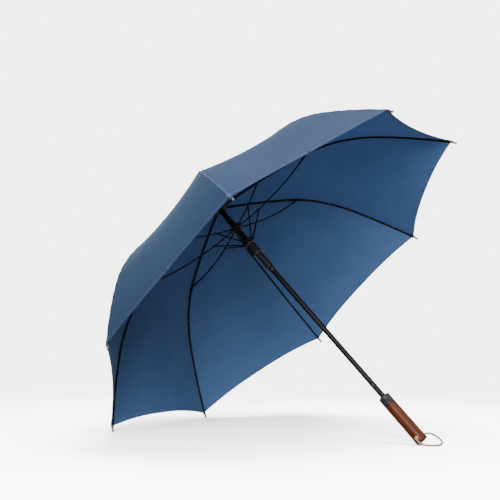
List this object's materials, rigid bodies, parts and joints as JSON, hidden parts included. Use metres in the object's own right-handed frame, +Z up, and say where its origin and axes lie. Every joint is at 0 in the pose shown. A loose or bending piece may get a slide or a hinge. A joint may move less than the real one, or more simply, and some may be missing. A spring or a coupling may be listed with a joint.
{
  "type": "golf umbrella",
  "caption": "Open long-shaft umbrella with a domed cloth canopy on a folding wire frame, a sliding sleeve on a black shaft and a straight turned wooden grip with a wrist cord.",
  "frame": {"origin": "on the floor, under the middle of the open umbrella's bounding box, the wrist cord and its knot left out", "axes": "+Z up from the floor that two rib tips and the grip's end rest on; +X towards the grip; +Y across the canopy, along its longest extent"},
  "size_m": [0.8481, 1.1146, 0.812],
  "materials": {
    "canopy_cloth": "tightly woven polyester with a faint sheen",
    "strap_cloth": "dark woven strap and its hook pad",
    "rib_black": "black painted ribs, stretchers and links",
    "shaft_black": "glossy black painted tube",
    "black_plastic": "black moulded nylon",
    "collar_plastic": "satin black plastic",
    "button_plastic": "black plastic button",
    "steel_small": "plated steel wire and strip",
    "spring_steel": "dark spring wire",
    "ring_trim": "dull bronze trim rings",
    "grip_wood": "turned hardwood under glossy lacquer",
    "cord_leather": "thin brown leather cord",
    "knot_leather": "light tan lace"
  },
  "bodies": {
    "body_open": {"canopy_panel_0": "canopy_cloth", "canopy_panel_1": "canopy_cloth", "canopy_panel_2": "canopy_cloth", "canopy_panel_3": "canopy_cloth", "canopy_panel_4": "canopy_cloth", "canopy_panel_5": "canopy_cloth", "canopy_panel_6": "canopy_cloth", "canopy_panel_7": "canopy_cloth", "tie_strap": "strap_cloth", "strap_pad": "strap_cloth", "shaft": "shaft_black", "ferrule": "black_plastic", "crown_cap": "black_plastic", "crown_notch": "black_plastic", "crown_wire": "steel_small", "collar": "collar_plastic", "grip": "grip_wood", "wrist_cord": "cord_leather", "cord_knot": "knot_leather", "top_catch_spring": "steel_small", "button_spring": "steel_small"},
    "inner_0": {"rib_inner_0": "rib_black"},
    "outer_0": {"rib_outer_0": "rib_black"},
    "stay_0": {"stretcher_0": "rib_black"},
    "link_body_0": {"link_0": "rib_black"},
    "inner_1": {"rib_inner_1": "rib_black"},
    "outer_1": {"rib_outer_1": "rib_black"},
    "stay_1": {"stretcher_1": "rib_black"},
    "link_body_1": {"link_1": "rib_black"},
    "inner_2": {"rib_inner_2": "rib_black"},
    "outer_2": {"rib_outer_2": "rib_black"},
    "stay_2": {"stretcher_2": "rib_black"},
    "link_body_2": {"link_2": "rib_black"},
    "inner_3": {"rib_inner_3": "rib_black"},
    "outer_3": {"rib_outer_3": "rib_black"},
    "stay_3": {"stretcher_3": "rib_black"},
    "link_body_3": {"link_3": "rib_black"},
    "inner_4": {"rib_inner_4": "rib_black"},
    "outer_4": {"rib_outer_4": "rib_black"},
    "stay_4": {"stretcher_4": "rib_black"},
    "link_body_4": {"link_4": "rib_black"},
    "inner_5": {"rib_inner_5": "rib_black"},
    "outer_5": {"rib_outer_5": "rib_black"},
    "stay_5": {"stretcher_5": "rib_black"},
    "link_body_5": {"link_5": "rib_black"},
    "inner_6": {"rib_inner_6": "rib_black"},
    "outer_6": {"rib_outer_6": "rib_black"},
    "stay_6": {"stretcher_6": "rib_black"},
    "link_body_6": {"link_6": "rib_black"},
    "inner_7": {"rib_inner_7": "rib_black"},
    "outer_7": {"rib_outer_7": "rib_black"},
    "stay_7": {"stretcher_7": "rib_black"},
    "link_body_7": {"link_7": "rib_black"},
    "hub": {"stretcher_hub": "black_plastic", "hub_wire": "steel_small", "runner_spring": "spring_steel"},
    "runner_body": {"runner": "black_plastic", "runner_rings": "ring_trim"},
    "top_catch_body": {"top_catch": "steel_small"},
    "button": {"push_button": "button_plastic", "lower_catch": "steel_small"}
  },
  "joints": [
    {"name": "fold", "type": "hinge", "parent": "body_open", "child": "inner_0", "pos_m": [-0.19181, 0.00536, 0.61655], "axis": [-0.2712, 0.9239, -0.27], "range_deg": [0, 78], "deforming": ["canopy_panel_0", "canopy_panel_1", "canopy_panel_2", "canopy_panel_3", "canopy_panel_4", "canopy_panel_5", "canopy_panel_6", "canopy_panel_7", "tie_strap", "strap_pad"]},
    {"name": "fold_1", "type": "hinge", "parent": "body_open", "child": "inner_1", "pos_m": [-0.19718, 0.01293, 0.6112], "axis": [-0.6547, 0.3827, -0.6519], "range_deg": [0, 78]},
    {"name": "fold_2", "type": "hinge", "parent": "body_open", "child": "inner_2", "pos_m": [-0.20478, 0.01293, 0.60364], "axis": [-0.6547, -0.3827, -0.6519], "range_deg": [0, 78]},
    {"name": "fold_3", "type": "hinge", "parent": "body_open", "child": "inner_3", "pos_m": [-0.21015, 0.00536, 0.59829], "axis": [-0.2712, -0.9239, -0.27], "range_deg": [0, 78]},
    {"name": "fold_4", "type": "hinge", "parent": "body_open", "child": "inner_4", "pos_m": [-0.21015, -0.00536, 0.59829], "axis": [0.2712, -0.9239, 0.27], "range_deg": [0, 78]},
    {"name": "fold_5", "type": "hinge", "parent": "body_open", "child": "inner_5", "pos_m": [-0.20478, -0.01293, 0.60364], "axis": [0.6547, -0.3827, 0.6519], "range_deg": [0, 78]},
    {"name": "fold_6", "type": "hinge", "parent": "body_open", "child": "inner_6", "pos_m": [-0.19718, -0.01293, 0.6112], "axis": [0.6547, 0.3827, 0.6519], "range_deg": [0, 78]},
    {"name": "fold_7", "type": "hinge", "parent": "body_open", "child": "inner_7", "pos_m": [-0.19181, -0.00536, 0.61655], "axis": [0.2712, 0.9239, 0.27], "range_deg": [0, 78]},
    {"name": "rib_flex_0", "type": "hinge", "parent": "inner_0", "child": "outer_0", "pos_m": [0.01212, 0.10868, 0.76527], "axis": [-0.2712, 0.9239, -0.27], "range_deg": [-25.8, 0]},
    {"name": "stretcher_pivot_0", "type": "hinge", "parent": "inner_0", "child": "stay_0", "pos_m": [0.01212, 0.10868, 0.76527], "axis": [-0.2712, 0.9239, -0.27], "range_deg": [-156, 0]},
    {"name": "link_pivot_0", "type": "hinge", "parent": "stay_0", "child": "link_body_0", "pos_m": [-0.09437, 0.0308, 0.60573], "axis": [-0.2712, 0.9239, -0.27], "range_deg": [0, 37]},
    {"name": "rib_flex_1", "type": "hinge", "parent": "inner_1", "child": "outer_1", "pos_m": [-0.0968, 0.26238, 0.65682], "axis": [-0.6547, 0.3827, -0.6519], "range_deg": [-25.8, 0]},
    {"name": "stretcher_pivot_1", "type": "hinge", "parent": "inner_1", "child": "stay_1", "pos_m": [-0.0968, 0.26238, 0.65682], "axis": [-0.6547, 0.3827, -0.6519], "range_deg": [-156, 0]},
    {"name": "link_pivot_1", "type": "hinge", "parent": "stay_1", "child": "link_body_1", "pos_m": [-0.12523, 0.07435, 0.575], "axis": [-0.6547, 0.3827, -0.6519], "range_deg": [0, 37]},
    {"name": "rib_flex_2", "type": "hinge", "parent": "inner_2", "child": "outer_2", "pos_m": [-0.25083, 0.26238, 0.50345], "axis": [-0.6547, -0.3827, -0.6519], "range_deg": [-25.8, 0]},
    {"name": "stretcher_pivot_2", "type": "hinge", "parent": "inner_2", "child": "stay_2", "pos_m": [-0.25083, 0.26238, 0.50345], "axis": [-0.6547, -0.3827, -0.6519], "range_deg": [-156, 0]},
    {"name": "link_pivot_2", "type": "hinge", "parent": "stay_2", "child": "link_body_2", "pos_m": [-0.16888, 0.07435, 0.53153], "axis": [-0.6547, -0.3827, -0.6519], "range_deg": [0, 37]},
    {"name": "rib_flex_3", "type": "hinge", "parent": "inner_3", "child": "outer_3", "pos_m": [-0.35975, 0.10868, 0.39501], "axis": [-0.2712, -0.9239, -0.27], "range_deg": [-25.8, 0]},
    {"name": "stretcher_pivot_3", "type": "hinge", "parent": "inner_3", "child": "stay_3", "pos_m": [-0.35975, 0.10868, 0.39501], "axis": [-0.2712, -0.9239, -0.27], "range_deg": [-156, 0]},
    {"name": "link_pivot_3", "type": "hinge", "parent": "stay_3", "child": "link_body_3", "pos_m": [-0.19974, 0.0308, 0.5008], "axis": [-0.2712, -0.9239, -0.27], "range_deg": [0, 37]},
    {"name": "rib_flex_4", "type": "hinge", "parent": "inner_4", "child": "outer_4", "pos_m": [-0.35975, -0.10868, 0.39501], "axis": [0.2712, -0.9239, 0.27], "range_deg": [-25.8, 0]},
    {"name": "stretcher_pivot_4", "type": "hinge", "parent": "inner_4", "child": "stay_4", "pos_m": [-0.35975, -0.10868, 0.39501], "axis": [0.2712, -0.9239, 0.27], "range_deg": [-156, 0]},
    {"name": "link_pivot_4", "type": "hinge", "parent": "stay_4", "child": "link_body_4", "pos_m": [-0.19974, -0.0308, 0.5008], "axis": [0.2712, -0.9239, 0.27], "range_deg": [0, 37]},
    {"name": "rib_flex_5", "type": "hinge", "parent": "inner_5", "child": "outer_5", "pos_m": [-0.25083, -0.26238, 0.50345], "axis": [0.6547, -0.3827, 0.6519], "range_deg": [-25.8, 0]},
    {"name": "stretcher_pivot_5", "type": "hinge", "parent": "inner_5", "child": "stay_5", "pos_m": [-0.25083, -0.26238, 0.50345], "axis": [0.6547, -0.3827, 0.6519], "range_deg": [-156, 0]},
    {"name": "link_pivot_5", "type": "hinge", "parent": "stay_5", "child": "link_body_5", "pos_m": [-0.16888, -0.07435, 0.53153], "axis": [0.6547, -0.3827, 0.6519], "range_deg": [0, 37]},
    {"name": "rib_flex_6", "type": "hinge", "parent": "inner_6", "child": "outer_6", "pos_m": [-0.0968, -0.26238, 0.65682], "axis": [0.6547, 0.3827, 0.6519], "range_deg": [-25.8, 0]},
    {"name": "stretcher_pivot_6", "type": "hinge", "parent": "inner_6", "child": "stay_6", "pos_m": [-0.0968, -0.26238, 0.65682], "axis": [0.6547, 0.3827, 0.6519], "range_deg": [-156, 0]},
    {"name": "link_pivot_6", "type": "hinge", "parent": "stay_6", "child": "link_body_6", "pos_m": [-0.12523, -0.07435, 0.575], "axis": [0.6547, 0.3827, 0.6519], "range_deg": [0, 37]},
    {"name": "rib_flex_7", "type": "hinge", "parent": "inner_7", "child": "outer_7", "pos_m": [0.01212, -0.10868, 0.76527], "axis": [0.2712, 0.9239, 0.27], "range_deg": [-25.8, 0]},
    {"name": "stretcher_pivot_7", "type": "hinge", "parent": "inner_7", "child": "stay_7", "pos_m": [0.01212, -0.10868, 0.76527], "axis": [0.2712, 0.9239, 0.27], "range_deg": [-156, 0]},
    {"name": "link_pivot_7", "type": "hinge", "parent": "stay_7", "child": "link_body_7", "pos_m": [-0.09437, -0.0308, 0.60573], "axis": [0.2712, 0.9239, 0.27], "range_deg": [0, 37]},
    {"name": "hub_pivot", "type": "hinge", "parent": "stay_0", "child": "hub", "pos_m": [-0.13748, 0.00536, 0.56198], "axis": [-0.2712, 0.9239, -0.27], "range_deg": [0, 78]},
    {"name": "runner_slide", "type": "slide", "parent": "hub", "child": "runner_body", "axis": [-0.7056, 0, 0.7086], "range_m": [0, 0.0355], "deforming": ["runner_spring"]},
    {"name": "top_catch_press", "type": "slide", "parent": "body_open", "child": "top_catch_body", "axis": [-0.2712, 0.9239, -0.27], "range_m": [0, 0.0018], "stiffness_N_per_m": 300, "springref_m": -0.002, "deforming": ["top_catch_spring"]},
    {"name": "button_press", "type": "slide", "parent": "body_open", "child": "button", "axis": [-0.2712, 0.9239, -0.27], "range_m": [0, 0.002], "stiffness_N_per_m": 400, "springref_m": -0.002, "deforming": ["button_spring"]}
  ],
  "couplings": [
    {"joint": "fold_1", "follows": "fold", "ratio": 1},
    {"joint": "fold_2", "follows": "fold", "ratio": 1},
    {"joint": "fold_3", "follows": "fold", "ratio": 1},
    {"joint": "fold_4", "follows": "fold", "ratio": 1},
    {"joint": "fold_5", "follows": "fold", "ratio": 1},
    {"joint": "fold_6", "follows": "fold", "ratio": 1},
    {"joint": "fold_7", "follows": "fold", "ratio": 1},
    {"joint": "rib_flex_0", "follows": "fold", "ratio": -0.3295},
    {"joint": "stretcher_pivot_0", "follows": "fold", "ratio": -2},
    {"joint": "link_pivot_0", "follows": "fold", "ratio": 0.474},
    {"joint": "rib_flex_1", "follows": "fold", "ratio": -0.3295},
    {"joint": "stretcher_pivot_1", "follows": "fold", "ratio": -2},
    {"joint": "link_pivot_1", "follows": "fold", "ratio": 0.474},
    {"joint": "rib_flex_2", "follows": "fold", "ratio": -0.3295},
    {"joint": "stretcher_pivot_2", "follows": "fold", "ratio": -2},
    {"joint": "link_pivot_2", "follows": "fold", "ratio": 0.474},
    {"joint": "rib_flex_3", "follows": "fold", "ratio": -0.3295},
    {"joint": "stretcher_pivot_3", "follows": "fold", "ratio": -2},
    {"joint": "link_pivot_3", "follows": "fold", "ratio": 0.474},
    {"joint": "rib_flex_4", "follows": "fold", "ratio": -0.3295},
    {"joint": "stretcher_pivot_4", "follows": "fold", "ratio": -2},
    {"joint": "link_pivot_4", "follows": "fold", "ratio": 0.474},
    {"joint": "rib_flex_5", "follows": "fold", "ratio": -0.3295},
    {"joint": "stretcher_pivot_5", "follows": "fold", "ratio": -2},
    {"joint": "link_pivot_5", "follows": "fold", "ratio": 0.474},
    {"joint": "rib_flex_6", "follows": "fold", "ratio": -0.3295},
    {"joint": "stretcher_pivot_6", "follows": "fold", "ratio": -2},
    {"joint": "link_pivot_6", "follows": "fold", "ratio": 0.474},
    {"joint": "rib_flex_7", "follows": "fold", "ratio": -0.3295},
    {"joint": "stretcher_pivot_7", "follows": "fold", "ratio": -2},
    {"joint": "link_pivot_7", "follows": "fold", "ratio": 0.474},
    {"joint": "hub_pivot", "follows": "fold", "ratio": 1},
    {"joint": "runner_slide", "follows": "fold", "m_per_rad": 0.026064}
  ]
}
